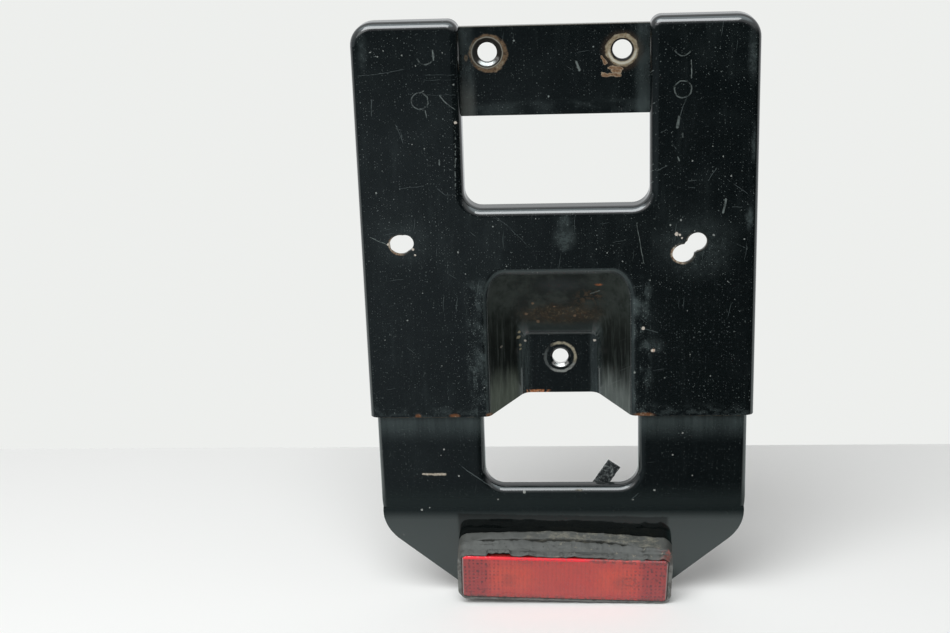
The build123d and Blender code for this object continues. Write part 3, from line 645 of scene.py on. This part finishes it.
def lower_plate_paint():
    paint = black_enamel("lower_plate_enamel", 0.60)
    paint.keep_to_front()
    ragged = paint.bent(0.5, 1.6, 3)
    x, z = paint.axis("X"), paint.axis("Z")
    front = paint.smooth(paint.axis("Y"), -11.0, -11.4)
    # Painted sheen: a lighter streaked band just below the joint, fading downwards.
    band = paint.smooth(z, -185, -172)
    streaks = paint.patches(4, 0.30, 0.72, 4, stretch=(1, 1, 0.08))
    paint.cover(band * (0.26 + 0.26 * streaks), haze_and_sheen_grey, 0.5)
    # Painted reflection of the floor on the panel below the bend, and a lighter painted sheen across the bend
    # itself.
    paint.cover(paint.smooth(z, bend_height - 1, bend_height - 9) * 0.9, (0.0045, 0.0100, 0.0100, 1))
    bend = paint.smooth(z, bend_height + 12, bend_height) * paint.smooth(z, bend_height - 9, bend_height)
    paint.cover(bend * 0.8, (0.0120, 0.0165, 0.0165, 1), coat=0.35)
    # Painted dark reflection and shade of the rubber housing on the panel just above it, with a ragged upper
    # edge.
    level = paint.along((0.022, 0, 1), at=ragged)
    band_width = paint.smooth(abs(x), 51.5, 49.5)
    housing_reflection_band = band_width * paint.smooth(level + 1.5 * paint.grain(5, 4, 0.6), -220.6, -221.4)
    paint.cover(housing_reflection_band * 0.85, (0.0038, 0.0048, 0.0048, 1), coat=0.40)
    joint = paint.smooth(z, -170.9, -170.1)
    paint.cover(joint * paint.patches(6, 0.42, 0.56) * 0.6, (0.125, 0.090, 0.055, 1), 0.8)
    gouge = (((-66.3, -199.7), (-60.8, -199.9), 0.62), ((-60.8, -199.9), (-55.7, -199.7), 0.85))
    rust_patch(paint, paint.lines(gouge, ragged), (primer_tan, (0.30, 0.27, 0.22, 1), chip_pale), 1.0)
    blob = paint.oval(8.3, -207.6, 1.9, 1.5, 0.4, ragged)
    mud = ((0.060, 0.055, 0.045, 1), (0.165, 0.155, 0.125, 1), (0.24, 0.225, 0.185, 1))
    rust_patch(paint, blob * front, mud, 1.2)
    spots = (
        (-49.2, -200.6, 0.45), (-55.8, -186.9, 0.50), (-57.3, -190.0, 0.30), (-18.0, -209.4, 0.75),
        (-30.7, -213.0, 0.4), (-67.8, -218.5, 0.60), (-63.9, -217.3, 0.35), (44.0, -208.5, 0.55),
        (33.8, -213.4, 0.35), (52.6, -190.2, 0.40), (-77.7, -233.3, 0.30), (57.3, -179.2, 0.45),
        (62.0, -201.0, 0.35),
    )
    paint.cover(paint.spots(spots, ragged) * 0.9, (0.24, 0.25, 0.235, 1), 0.7)
    lines = (
        ((-45.4, -197.9), (-33.3, -207.0), 0.17),
        ((-47.5, -196.0), (-38.0, -203.1), 0.13),
        ((33.0, -213.5), (36.4, -210.2), 0.14),
    )
    paint.cover(paint.lines(lines, paint.bent(0.4, 4)) * front * 0.5, scratch_grey, 0.5)
    ticks = (((-79.3, -234.3), (-75.6, -232.2), 0.28), ((-75.6, -232.2), (-73.6, -233.6), 0.24))
    paint.cover(paint.lines(ticks, paint.bent(0.4, 4)) * 0.8, (0.010, 0.010, 0.010, 1), 0.5)
    return paint.made()


def lens_red():
    """Moulded red lens: small prisms that show at both ends, a brighter middle, a worn surface."""
    red = Finish("lens_red", (0.45, 0.038, 0.031, 1), 0.26, coat=0.5, IOR=1.49, Coat_Roughness=0.15)
    u = red.along(across, reflector_middle)
    v = red.along(upward, reflector_middle)
    w = red.along(panel_out, reflector_middle)
    reach = abs(u)
    soft = red.bent(0.5, 3, 3)
    thirds = red.smooth(abs(reach - 26), 15, 4)
    red.cover(thirds * red.smooth(abs(v), 11, 5) * 0.80, (0.56, 0.056, 0.030, 1))
    red.cover(red.patches(9, 0.40, 0.70) * 0.35, (0.47, 0.066, 0.040, 1))
    red.cover(red.patches(1.1, 0.42, 0.70, stretch=(1, 1, 0.25)) * 0.40, (0.27, 0.018, 0.018, 1))
    for centre in (-27.0, 27.0):
        smudge = red.smooth(abs(u - centre), 5.0, 1.0) * red.smooth(abs(v + 1.0), 6.0, 2.0)
        red.cover(smudge * 0.40, (0.22, 0.026, 0.022, 1))
    ends = red.smooth(reach, 20.0, 41.0)
    edges = red.smooth(reach + 3.0 * red.grain(4, 3, 0.6), 36.0, 40.5)
    red.cover(edges * 0.62, (0.225, 0.014, 0.020, 1))
    uneven = red.bent(0.35, 2.2, 2)
    columns = red.wave(red.along(across, reflector_middle, uneven), 2.0)
    rows = red.wave(red.along(upward, reflector_middle, uneven), 2.3)
    broken = red.patches(2.4, 0.44, 0.56, 4, 0.7)
    prisms = red.smooth(columns.smaller(rows), -0.35, 0.45) * (0.15 + 0.85 * broken)
    red.cover(prisms * (0.10 + 0.66 * ends + 0.24 * edges), (0.065, 0.004, 0.010, 1))
    specks = red.patches(1.7, 0.55, 0.62, 4, 0.7, stretch=(1, 1, 0.5))
    red.cover(edges * specks * 0.7, (0.055, 0.006, 0.012, 1))
    red.cover(red.smooth(columns, 0.2, 0.9) * 0.16, (0.200, 0.014, 0.016, 1))
    red.cover(red.smooth(v, 1.0, -10.0) * 0.24, (0.320, 0.038, 0.046, 1))
    red.raise_by(prisms * ends * -0.04)
    front = red.smooth(w, 12.9, 13.2)
    line = red.smooth(v, 11.8, 12.2) * red.smooth(u, 16.0, 11.0)
    red.cover(line * front, (0.78, 0.006, 0.022, 1), 0.15)
    red.cover(red.smooth(reach, 48.7, 49.2) * 0.85, (0.24, 0.20, 0.19, 1), 0.5)
    worn = red.oval(33.1, -254.5, 4.6, 4.2, 2.0, soft) * red.patches(1.3, 0.45, 0.60)
    red.cover(worn * 0.60, (0.16, 0.014, 0.016, 1), 0.5)
    under_flap = red.smooth(v, 10.6, 12.4) * red.smooth(u, 8, 14) * 0.9
    grime = red.smooth(v, -9.0, -12.2).larger(under_flap)
    red.cover(grime * red.patches(1.8, 0.44, 0.58, 5, 0.7) * 0.85, (0.050, 0.022, 0.022, 1), 0.6)
    top_grime = red.smooth(v, 8.5, 11.0) * red.smooth(u, -30, -20) * red.smooth(u, 10, 0)
    red.cover(top_grime * red.patches(1.1, 0.52, 0.60, 4, 0.7) * 0.7, (0.14, 0.016, 0.018, 1), 0.5)
    bottom = red.smooth(v, -11.9, -12.6)
    red.cover(bottom * 0.75, (0.095, 0.075, 0.070, 1), 0.6)
    for turn, share in ((20, 0.15), (75, 0.12)):
        red.cover(red.scratches(turn, 8, 0.12, 4.5, share) * 0.35, (0.50, 0.22, 0.20, 1), 0.5)
    red.cover(red.dots(2.0, 0.34, 0.40) * 0.55, (0.14, 0.014, 0.018, 1), 0.6)
    red.raise_by(red.grain(5, 2, 0.5) * 0.03)
    return red.made()


def weathered_rubber(name, colour, pale):
    """Old rubber gone grey: clouds of bloom, pits and fine grain."""
    rubber = Finish(name, colour, 0.62, IOR=1.5)
    rubber.cover(rubber.patches(7, 0.40, 0.70) * 0.65, pale, 0.72)
    rubber.cover(rubber.patches(1.2, 0.56, 0.72, 3) * 0.45, (0.050, 0.047, 0.043, 1))
    rubber.cover(rubber.dots(2.6, 0.42, 0.22), (0.022, 0.020, 0.018, 1), lift=-0.12)
    rubber.raise_by(rubber.grain(0.9, 3, 0.6) * 0.06)
    rubber.raise_by(rubber.grain(4, 3, 0.6) * 0.15)
    return rubber


def surround_rubber():
    rubber = weathered_rubber("surround_rubber", (0.052, 0.054, 0.050, 1), (0.096, 0.101, 0.094, 1))
    u = rubber.along(across, reflector_middle)
    v = rubber.along(upward, reflector_middle)
    w = rubber.along(panel_out, reflector_middle)
    top = rubber.smooth(v, 12.0, 13.5)
    rubber.raise_by(rubber.grain(3.5, 3, 0.6, stretch=(0.25, 1, 1)) * top * 0.25)
    seams = rubber.patches(2.6, 0.62, 0.67, 4, 0.6, stretch=(0.22, 1, 1)) * top
    rubber.cover(seams * 0.7, (0.022, 0.021, 0.019, 1), 0.6, lift=-0.15)
    right = rubber.smooth(u, 43, 49) * rubber.patches(2.4, 0.44, 0.56) * top
    rubber.cover(right * 0.55, (0.23, 0.045, 0.032, 1), 0.6)
    bits = rubber.patches(2.2, 0.60, 0.66, 5, 0.7) * top * rubber.smooth(u, -20, 5)
    rubber.cover(bits * 0.7, (0.27, 0.25, 0.20, 1), 0.85, lift=0.05)
    side = rubber.smooth((abs(u) - 51.0).larger(-14.0 - v), -0.8, 0.2)
    rubber.cover(side * 0.6, (0.090, 0.082, 0.072, 1), 0.7)
    lip = rubber.smooth(w, 12.6, 13.2) * rubber.smooth(v, 12.0, 11.0)
    rubber.cover(lip * rubber.patches(3, 0.35, 0.55) * 0.6, (0.20, 0.205, 0.195, 1), 0.6)
    return rubber.made()


def pad_rubber():
    rubber = weathered_rubber("pad_rubber", (0.044, 0.046, 0.042, 1), (0.070, 0.073, 0.067, 1))
    u = rubber.along(across, reflector_middle)
    worn = rubber.smooth(u, -24, -12) * rubber.smooth(u, 50, 44)
    cream = rubber.patches(2.6, 0.46, 0.66, 6, 0.75, stretch=(0.5, 1, 1)) * worn
    rubber.cover(cream * 0.70, (0.215, 0.205, 0.160, 1), 0.85, lift=0.05)
    crumbs = rubber.patches(1.6, 0.60, 0.72, 5, 0.7) * worn
    rubber.cover(crumbs * 0.7, (0.36, 0.34, 0.27, 1), 0.85, lift=0.05)
    return rubber.made()


def base_plastic():
    plastic = Finish("base_plastic", (0.030, 0.030, 0.031, 1), 0.55)
    plastic.cover(plastic.patches(6, 0.45, 0.70) * 0.3, (0.060, 0.058, 0.055, 1), 0.7)
    plastic.raise_by(plastic.grain(0.6, 2) * 0.02)
    return plastic.made()


def sleeve_black():
    sleeve = Finish("sleeve_black", (0.016, 0.019, 0.020, 1), 0.20, IOR=1.62)
    # Grey patches: painted glints and reflections on the glossy sleeve.
    sleeve.cover(sleeve.patches(1.8, 0.46, 0.62, 4) * 0.65, (0.105, 0.120, 0.118, 1), 0.42)
    sleeve.cover(sleeve.patches(1.1, 0.60, 0.68, 3) * 0.8, (0.28, 0.30, 0.29, 1), 0.5)
    sleeve.raise_by(sleeve.grain(1.4, 3, 0.6) * 0.30)
    return sleeve.made()


def aged_zinc(name, rust):
    """Zinc plating gone dull, with rust coming through."""
    zinc = Finish(name, (0.42, 0.42, 0.40, 1), 0.42, 0.55)
    zinc.cover(zinc.patches(1.6, 0.42, 0.66) * 0.6, (0.24, 0.235, 0.215, 1), 0.65)
    rust_patch(zinc, zinc.patches(3.0, 0.62 - rust, 0.70 - rust, 4, 0.7), size=0.7)
    return zinc.made()


def paint_node(name, material):
    """Gives a piece of the frame its finish."""
    slots = nodes[name].data.materials
    slots.clear()
    slots.append(material)


def mesh_piece(name, mesh, material, slot, *replaced):
    """A detailed piece that stands for solids of the frame."""
    piece = bpy.data.objects.new(name, mesh)
    bpy.context.scene.collection.objects.link(piece)
    mesh.materials.clear()
    mesh.materials.append(material)
    mesh.shade_smooth()
    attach(piece, "root")
    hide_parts(*replaced)
    return piece


def fine_mesh(node, voxel, smoothing):
    """An even fine mesh of one solid, with its edges a little softened."""
    source = bpy.data.objects.new(node + "_fine", nodes[node].data.copy())
    bpy.context.scene.collection.objects.link(source)
    remesh = source.modifiers.new("even", "REMESH")
    remesh.mode = "VOXEL"
    remesh.voxel_size = voxel * mm
    smooth = source.modifiers.new("soften", "SMOOTH")
    smooth.factor = 0.5
    smooth.iterations = smoothing
    depsgraph = bpy.context.evaluated_depsgraph_get()
    mesh = bpy.data.meshes.new_from_object(source.evaluated_get(depsgraph))
    bpy.data.objects.remove(source)
    return mesh


def lump(point, size, seed=0.0):
    """Smooth random value of about -1 to 1 at a point in millimetres, with blobs of that size."""
    return noise.noise(point / size + Vector((seed, 2 * seed, 3 * seed)))


def step(value, start, end):
    """0 before start and 1 after end, with a soft step between them."""
    share = min(max((value - start) / (end - start), 0.0), 1.0)
    return share * share * (3 - 2 * share)


def reflector_place(point):
    """A point in millimetres as u across the reflector, v up it and w out of it."""
    offset = point - reflector_middle
    return offset.dot(across), offset.dot(upward), offset.dot(panel_out)


def shaped(mesh, move):
    """Moves every vertex of a mesh by a vector in millimetres worked out from its place and normal."""
    moves = [move(vertex.co / mm, vertex.normal) for vertex in mesh.vertices]
    for vertex, by in zip(mesh.vertices, moves):
        vertex.co += by * mm
    return mesh


def torn_away(u):
    """How far the surround's back edge is torn away from the pad, across the reflector."""
    return 1.3 * (1 - step(u, -50.0, -36.0)) + 3.4 * step(u, 12.0, 46.0)


def surround_move(point, normal):
    """Torn and curled back edge along the top, soft lumps everywhere, and flakes over the lens."""
    u, v, w = reflector_place(point)
    by = normal * (0.14 * lump(point, 4.0) + 0.07 * lump(point, 1.3, 5.0))
    at = Vector((u, 0, 0))
    back_lip = step(v, surround_top - 2.5, surround_top) * (1 - step(w, pad_level + 0.4, pad_level + 6.5))
    tear = 1.7 * lump(at, 9.0, 1.3) + 1.3 * lump(at, 3.1, 4.1) + 0.5 * lump(at, 1.2, 6.3)
    by += panel_out * (back_lip * (0.2 + tear + torn_away(u)))
    by += upward * (back_lip * (0.35 + 0.45 * lump(at, 4.0, 7.7)))
    ridge = step(w, surround_level - 3.4, surround_level - 1.6) * step(v, 12.6, 13.6)
    flap = step(u, -38.0, -36.5) * (1 - step(u, -27.0, -25.5))
    bumps = 1.9 * flap + 1.5 * max(lump(at, 6.0, 5.5), 0) + 0.9 * max(lump(at, 2.2, 8.8), 0)
    by += upward * (ridge * bumps)
    front_lip = step(w, surround_level - 1.2, surround_level - 0.2)
    front_lip *= step(v, 12.2, 13.6) * (1 - step(v, 14.0, 15.5))
    ragged = 0.25 * abs(lump(at, 2.0, 9.1)) + 0.5 * step(u, 10, 30) * abs(lump(at, 3.0, 2.2))
    flake = 1.5 * step(u, 27.0, 29.0) * (1 - step(u, 36.0, 38.5)) * (0.8 + 0.4 * lump(at, 1.8, 3.3))
    corner = 0.9 * (1 - step(u, -48.8, -47.0))
    by += (panel_out * 0.4 - upward) * (front_lip * (flake + ragged + corner))
    return by - panel_out * max(w + by.dot(panel_out) - surround_level, 0.0)


def pad_move(point, normal):
    """Lumps everywhere, a top edge that swells towards the middle, and a front that fills the tear."""
    u, v, w = reflector_place(point)
    by = normal * (0.16 * lump(point, 3.0, 2.0) + 0.09 * lump(point, 1.0, 8.0))
    at = Vector((u, 0, 0))
    top = step(v, 10.0, 15.0)
    by += upward * (top * (1.4 - 2.6 * (u / 50) ** 2 + 0.4 * lump(at, 5.0, 3.9)))
    by += panel_out * (step(v, 12.0, 13.5) * step(w, 1.5, pad_level) * torn_away(u))
    return by


def sleeve_move(point, normal):
    """Creases of a shrunk sleeve."""
    crease = 1 - abs(lump(point, 3.2, 3.0))
    return normal * (0.22 * crease - 0.15 + 0.10 * lump(point, 1.4, 9.0))


def hex_ring(width, level):
    """Corners of a hexagon of that width across its flats."""
    corner = width / 2 / cos(pi / 6)
    return [(corner * cos(pi / 3 * i), corner * sin(pi / 3 * i), level) for i in range(6)]


def threaded_stud(name, stud_x):
    """A stud with a hexagon head in the tray and a rolled thread behind the panel."""
    radius, depth, pitch = 2.5, 0.35, 0.8
    head_level, head_top, head_width = 6.3, 8.5, 8.0
    end_level = -10.5
    around, rise = 32, 0.1
    mesh_data = bmesh.new()
    rings = []
    count = int(round((head_level - end_level) / rise))
    for i in range(count + 1):
        level = end_level + i * rise
        ring = []
        for j in range(around):
            turn = 2 * pi * j / around
            share = (level / pitch - j / around) % 1.0
            groove = depth * abs(2 * share - 1)
            taper = 0.7 * (1 - step(level, end_level, end_level + 0.9))
            reach = radius - groove - taper
            ring.append(mesh_data.verts.new((reach * cos(turn), reach * sin(turn), level)))
        rings.append(ring)
    for below, above in zip(rings, rings[1:]):
        for j in range(around):
            k = (j + 1) % around
            mesh_data.faces.new((below[j], below[k], above[k], above[j]))
    mesh_data.faces.new(list(reversed(rings[0])))
    mesh_data.faces.new(rings[-1])
    low = [mesh_data.verts.new(p) for p in hex_ring(head_width, head_level)]
    high = [mesh_data.verts.new(p) for p in hex_ring(head_width, head_top)]
    for i in range(6):
        k = (i + 1) % 6
        mesh_data.faces.new((low[i], low[k], high[k], high[i]))
    mesh_data.faces.new(list(reversed(low)))
    mesh_data.faces.new(high)
    axes = Matrix((across, upward, panel_out)).transposed()
    for vertex in mesh_data.verts:
        local = vertex.co + Vector((stud_x, 0, 0))
        vertex.co = (axes @ local + reflector_middle) * mm
    mesh = bpy.data.meshes.new(name)
    mesh_data.to_mesh(mesh)
    mesh_data.free()
    return mesh


def dress_object():
    paint_node("upper_plate", upper_plate_paint())
    paint_node("cross_strap", strap_paint())
    paint_node("lower_plate", lower_plate_paint())
    paint_node("reflector_lens", lens_red())
    paint_node("reflector_base", base_plastic())
    nut_zinc = aged_zinc("nut_zinc", 0.10)
    washer_zinc = aged_zinc("washer_zinc", 0.16)
    stud_zinc = aged_zinc("stud_zinc", 0.06)
    for side in ("left", "right"):
        paint_node("reflector_nut_" + side, nut_zinc)
        paint_node("flat_washer_" + side, washer_zinc)
        paint_node("spring_washer_" + side, washer_zinc)
        stud_x = -stud_offset if side == "left" else stud_offset
        stud = threaded_stud("threaded_stud_" + side, stud_x)
        mesh_piece("threaded_stud_" + side, stud, stud_zinc, "stud_zinc", "reflector_stud_" + side)
    surround = shaped(fine_mesh("reflector_surround", 0.45, 3), surround_move)
    mesh_piece("torn_surround", surround, surround_rubber(), "surround_rubber", "reflector_surround")
    pad = shaped(fine_mesh("reflector_pad", 0.5, 2), pad_move)
    mesh_piece("worn_pad", pad, pad_rubber(), "pad_rubber", "reflector_pad")
    sleeve = shaped(fine_mesh("wire_clip", 0.25, 2), sleeve_move)
    mesh_piece("wrinkled_sleeve", sleeve, sleeve_black(), "clip_sleeve", "wire_clip")


def make_camera():
    data = bpy.data.cameras.new("photo_camera")
    data.lens = camera_lens
    data.sensor_width = 36.0
    data.clip_start = 0.01
    camera = bpy.data.objects.new("photo_camera", data)
    right = camera_forward.cross(camera_up).normalized()
    above = right.cross(camera_forward).normalized()
    turn = Matrix((right, above, -camera_forward)).transposed().to_4x4()
    camera.matrix_world = Matrix.Translation(camera_eye) @ turn
    bpy.context.scene.collection.objects.link(camera)
    bpy.context.scene.camera = camera


def make_floor():
    """A pale floor; what glossy paint mirrors of it darkens away from the object, as in a dim room."""
    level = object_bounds()[0].z
    mesh = bpy.data.meshes.new("floor")
    corners = [
        (-floor_half_width, floor_front, level),
        (floor_half_width, floor_front, level),
        (floor_half_width, floor_back, level),
        (-floor_half_width, floor_back, level),
    ]
    mesh.from_pydata(corners, [], [(0, 1, 2, 3)])
    floor = bpy.data.objects.new("floor", mesh)
    bpy.context.scene.collection.objects.link(floor)
    pale = Finish("floor_pale", (0.905, 0.905, 0.89, 1), 0.9, IOR=1.0)
    glossy = pale.node("ShaderNodeLightPath", {}, {}, "Is Glossy Ray")
    x, y = pale.axis("X") * mm, pale.axis("Y") * mm
    far = pale.smooth(y, mirror_floor_edge, mirror_floor_edge - mirror_floor_fade)
    aside = (x - mirror_middle) / (mirror_distance - y)
    dim = pale.mix(pale.smooth(aside, 0.10, -0.16), (0.012, 0.013, 0.013, 1), (0.120, 0.142, 0.152, 1))
    pale.cover(glossy, (0.88, 0.96, 0.94, 1))
    pale.cover(glossy * far, dim)
    mesh.materials.append(pale.made())


def make_room():
    """White for the camera, even light for surfaces; for gloss a bright top, a white back, a dim front."""
    world = bpy.data.worlds.new("room")
    world.use_nodes = True
    bpy.context.scene.world = world
    world.node_tree.nodes.clear()
    room = Network(world.node_tree, "Generated", 1.0)
    rise, ahead, left = (room.axis(letter) for letter in "ZYX")
    ceiling = room.smooth(rise, 0.02, 0.45)
    behind = room.smooth(ahead, -0.10, 0.35)
    dim = room.mix(room.smooth(left, 0.3, -0.9), (0.040, 0.042, 0.045, 1), (0.085, 0.098, 0.105, 1))
    window = room.smooth(left, -0.66, -0.86) * room.smooth(abs(rise), 0.55, 0.25)
    dim = room.mix(window, dim, (0.42, 0.47, 0.49, 1))
    mirrored = room.mix(ceiling.larger(behind), dim, (0.80, 0.82, 0.83, 1))
    lit = room.smooth(rise, 0.50, 0.82) * room.smooth(ahead, 0.25, -0.05)
    mirrored = room.mix(lit, mirrored, (2.3, 2.6, 2.7, 1))
    even = (room_light, room_light, room_light, 1)
    colour = room.mix(room.node("ShaderNodeLightPath", {}, {}, "Is Glossy Ray"), even, mirrored)
    colour = room.mix(room.node("ShaderNodeLightPath", {}, {}, "Is Camera Ray"), colour, white)
    background = room.node("ShaderNodeBackground", {}, {"Color": colour, "Strength": 1.0})
    output = room.tree.nodes.new("ShaderNodeOutputWorld")
    room.tree.links.new(background.socket, output.inputs["Surface"])


def soft_lamp(name, place, target, size, power, colour=(1, 1, 1)):
    """A rectangular softbox that faces a point."""
    data = bpy.data.lights.new(name, "AREA")
    data.shape = "RECTANGLE"
    data.size, data.size_y = size
    data.energy = power
    data.color = colour
    lamp = bpy.data.objects.new(name, data)
    lamp.location = place
    lamp.rotation_euler = (Vector(target) - Vector(place)).to_track_quat("-Z", "Y").to_euler()
    bpy.context.scene.collection.objects.link(lamp)
    return lamp


def make_lights():
    middle = (0, 0, -0.13)
    soft_lamp("key_softbox", (-0.25, -0.85, 1.05), middle, (1.3, 0.85), 20.5, (0.98, 1.0, 1.01))
    soft_lamp("fill_softbox", (-0.8, -1.1, 0.7), middle, (1.0, 0.8), 3.0)


make_camera()
dress_object()
make_floor()
make_room()
make_lights()
bpy.context.scene.view_settings.view_transform = "Standard"
